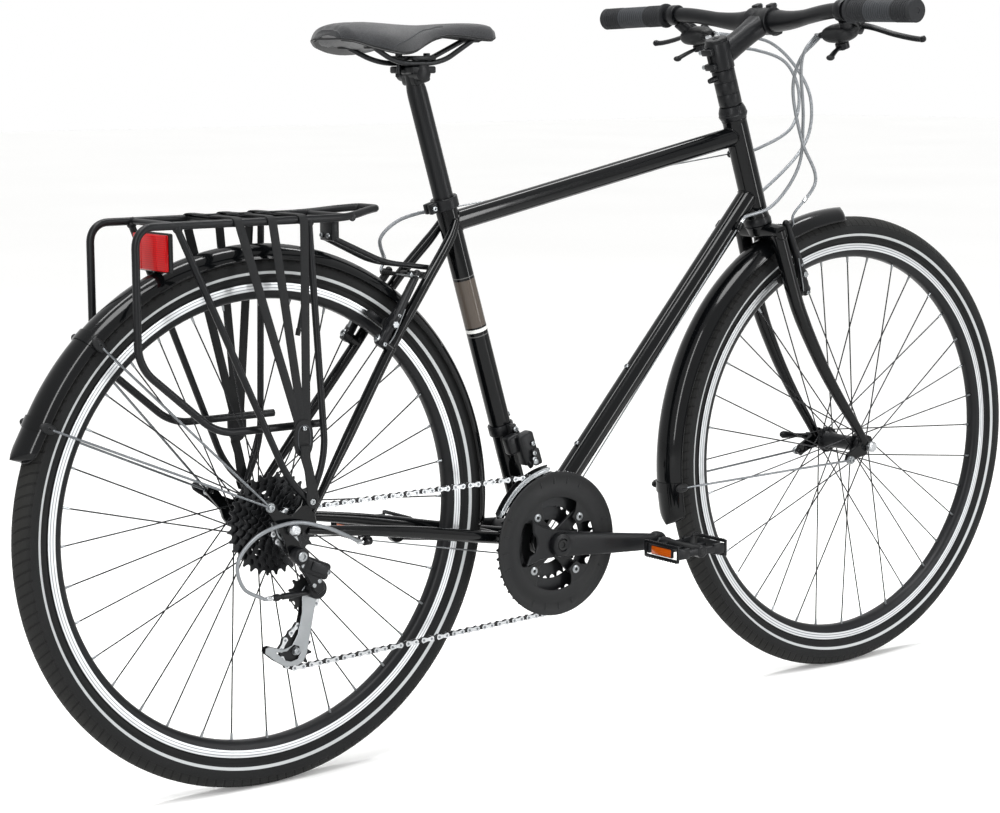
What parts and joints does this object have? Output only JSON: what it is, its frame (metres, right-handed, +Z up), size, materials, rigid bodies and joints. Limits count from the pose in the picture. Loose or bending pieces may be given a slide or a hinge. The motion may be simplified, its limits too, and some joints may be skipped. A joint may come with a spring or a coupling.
{
  "type": "touring bicycle",
  "caption": "Touring bicycle with flat handlebar, fenders, rear rack with straps, linear-pull brakes, derailleur drive and spoked wheels.",
  "frame": {"origin": "On the ground under the middle of the bicycle, between the outer faces of its two tyres.", "axes": "+X points forward to the front wheel, +Y to the bicycle's left, +Z up."},
  "size_m": [1.748, 0.6622, 1.0205],
  "materials": {
    "cable_sheath": "satin grey sheath",
    "dark_steel": "dark",
    "gloss_black_paint": "gloss black paint",
    "grip_rubber": "matte ribbed",
    "matte_black_plastic": "fine matte",
    "red_reflector": "clear red ribbed",
    "saddle_skin": "smooth matte skin",
    "satin_black_alloy": "satin black anodised",
    "silver_metal": "bright",
    "strap_rubber": "matte",
    "tyre_rubber": "matte tread"
  },
  "bodies": {
    "frame_body": {"main_frame": "gloss_black_paint", "upper_headset_cup": "satin_black_alloy", "lower_headset_cup": "satin_black_alloy", "seat_clamp": "satin_black_alloy", "bottom_bracket": "dark_steel", "front_derailleur": "silver_metal", "rear_derailleur": "satin_black_alloy", "rear_derailleur_cage": "silver_metal", "rear_rack": "satin_black_alloy", "luggage_straps": "strap_rubber", "reflector": "red_reflector", "rear_fender": "gloss_black_paint", "rear_fender_stays": "dark_steel", "chain": "silver_metal", "rear_skewer": "silver_metal", "rear_brake_housing": "cable_sheath", "derailleur_housing": "cable_sheath", "down_tube_cables": "silver_metal", "rear_brake_front_housing": "cable_sheath", "left_shift_housing": "cable_sheath", "right_shift_housing": "cable_sheath"},
    "seat": {"seatpost": "satin_black_alloy", "saddle_clamp": "satin_black_alloy", "saddle_base": "dark_steel", "saddle_cover": "saddle_skin"},
    "steering": {"fork": "gloss_black_paint", "headset_spacers": "satin_black_alloy", "stem": "satin_black_alloy", "handlebar": "satin_black_alloy", "right_grip": "grip_rubber", "left_grip": "grip_rubber", "right_control": "matte_black_plastic", "left_control": "matte_black_plastic", "front_fender": "gloss_black_paint", "front_fender_stays": "dark_steel", "front_skewer": "silver_metal", "front_brake_housing": "cable_sheath"},
    "front_wheel": {"front_tyre": "tyre_rubber", "front_rim": "satin_black_alloy", "front_hub": "satin_black_alloy"},
    "rear_wheel": {"rear_tyre": "tyre_rubber", "rear_rim": "satin_black_alloy", "rear_hub": "satin_black_alloy"},
    "cassette": {"cassette": "dark_steel"},
    "cranks": {"right_crank": "satin_black_alloy", "left_crank": "satin_black_alloy", "chainring_set": "dark_steel", "chain_guard": "matte_black_plastic"},
    "right_pedal": {"right_pedal": "matte_black_plastic"},
    "left_pedal": {"left_pedal": "matte_black_plastic"},
    "front_right_brake": {"front_right_brake_arm": "satin_black_alloy"},
    "front_left_brake": {"front_left_brake_arm": "satin_black_alloy"},
    "rear_right_brake": {"rear_right_brake_arm": "satin_black_alloy"},
    "rear_left_brake": {"rear_left_brake_arm": "satin_black_alloy"},
    "right_brake_lever": {"right_brake_lever": "satin_black_alloy"},
    "left_brake_lever": {"left_brake_lever": "satin_black_alloy"},
    "right_shift_lever": {"right_shift_lever": "matte_black_plastic"},
    "left_shift_lever": {"left_shift_lever": "matte_black_plastic"},
    "rear_quick_release": {"rear_quick_release_lever": "satin_black_alloy"},
    "front_quick_release": {"front_quick_release_lever": "satin_black_alloy"}
  },
  "joints": [
    {"name": "steering", "type": "hinge", "parent": "frame_body", "child": "steering", "pos_m": [0.33765, 0, 0.70556], "axis": [-0.309, 0, 0.9511], "range_deg": [-60, 60], "deforming": ["rear_brake_front_housing", "left_shift_housing", "right_shift_housing"]},
    {"name": "front_wheel_spin", "type": "hinge", "parent": "steering", "child": "front_wheel", "pos_m": [0.525, 0, 0.349], "axis": [0, 1, 0], "continuous": true},
    {"name": "rear_wheel_spin", "type": "hinge", "parent": "frame_body", "child": "rear_wheel", "pos_m": [-0.525, 0, 0.349], "axis": [0, 1, 0], "continuous": true},
    {"name": "crank_spin", "type": "hinge", "parent": "frame_body", "child": "cranks", "pos_m": [-0.09127, 0, 0.275], "axis": [0, 1, 0], "continuous": true},
    {"name": "cassette_spin", "type": "hinge", "parent": "frame_body", "child": "cassette", "pos_m": [-0.525, 0, 0.349], "axis": [0, 1, 0], "continuous": true},
    {"name": "right_pedal_spin", "type": "hinge", "parent": "cranks", "child": "right_pedal", "pos_m": [0.07809, 0, 0.26018], "axis": [0, 1, 0], "continuous": true},
    {"name": "left_pedal_spin", "type": "hinge", "parent": "cranks", "child": "left_pedal", "pos_m": [-0.26062, 0, 0.28982], "axis": [0, 1, 0], "continuous": true},
    {"name": "seatpost_slide", "type": "slide", "parent": "frame_body", "child": "seat", "axis": [-0.284, 0, 0.9588], "range_m": [-0.12, 0.06]},
    {"name": "right_brake_lever_pull", "type": "hinge", "parent": "steering", "child": "right_brake_lever", "pos_m": [0.38042, -0.166, 0.98337], "axis": [-0.5736, 0, -0.8192], "range_deg": [0, 20], "stiffness_Nm_per_rad": 2},
    {"name": "left_brake_lever_pull", "type": "hinge", "parent": "steering", "child": "left_brake_lever", "pos_m": [0.38042, 0.166, 0.98337], "axis": [0.5736, 0, 0.8192], "range_deg": [0, 20], "stiffness_Nm_per_rad": 2},
    {"name": "front_right_brake_close", "type": "hinge", "parent": "steering", "child": "front_right_brake", "pos_m": [0.37577, -0.04, 0.58824], "axis": [-0.9511, 0, -0.309], "range_deg": [0, 3.2]},
    {"name": "front_left_brake_close", "type": "hinge", "parent": "steering", "child": "front_left_brake", "pos_m": [0.37577, 0.04, 0.58824], "axis": [0.9511, 0, 0.309], "range_deg": [0, 3.2]},
    {"name": "rear_right_brake_close", "type": "hinge", "parent": "frame_body", "child": "rear_right_brake", "pos_m": [-0.349, -0.04, 0.563], "axis": [-0.8, 0, 0.6], "range_deg": [0, 3.2]},
    {"name": "rear_left_brake_close", "type": "hinge", "parent": "frame_body", "child": "rear_left_brake", "pos_m": [-0.349, 0.04, 0.563], "axis": [0.8, 0, -0.6], "range_deg": [0, 3.2]},
    {"name": "right_shift_push", "type": "hinge", "parent": "steering", "child": "right_shift_lever", "pos_m": [0.35251, -0.152, 0.9722], "axis": [-0.309, 0, 0.9511], "range_deg": [0, 20], "stiffness_Nm_per_rad": 0.5},
    {"name": "left_shift_push", "type": "hinge", "parent": "steering", "child": "left_shift_lever", "pos_m": [0.35251, 0.152, 0.9722], "axis": [0.309, 0, -0.9511], "range_deg": [0, 20], "stiffness_Nm_per_rad": 0.5},
    {"name": "rear_quick_release_flip", "type": "hinge", "parent": "frame_body", "child": "rear_quick_release", "pos_m": [-0.525, 0.09255, 0.349], "axis": [-0.6428, 0, -0.766], "range_deg": [0, 175]},
    {"name": "front_quick_release_flip", "type": "hinge", "parent": "steering", "child": "front_quick_release", "pos_m": [0.525, 0.07455, 0.349], "axis": [-0.1392, 0, -0.9903], "range_deg": [0, 175]}
  ],
  "couplings": [
    {"joint": "cassette_spin", "follows": "crank_spin", "ratio": 4.3636},
    {"joint": "front_right_brake_close", "follows": "right_brake_lever_pull", "ratio": 0.15},
    {"joint": "front_left_brake_close", "follows": "right_brake_lever_pull", "ratio": 0.15},
    {"joint": "rear_right_brake_close", "follows": "left_brake_lever_pull", "ratio": 0.15},
    {"joint": "rear_left_brake_close", "follows": "left_brake_lever_pull", "ratio": 0.15}
  ]
}
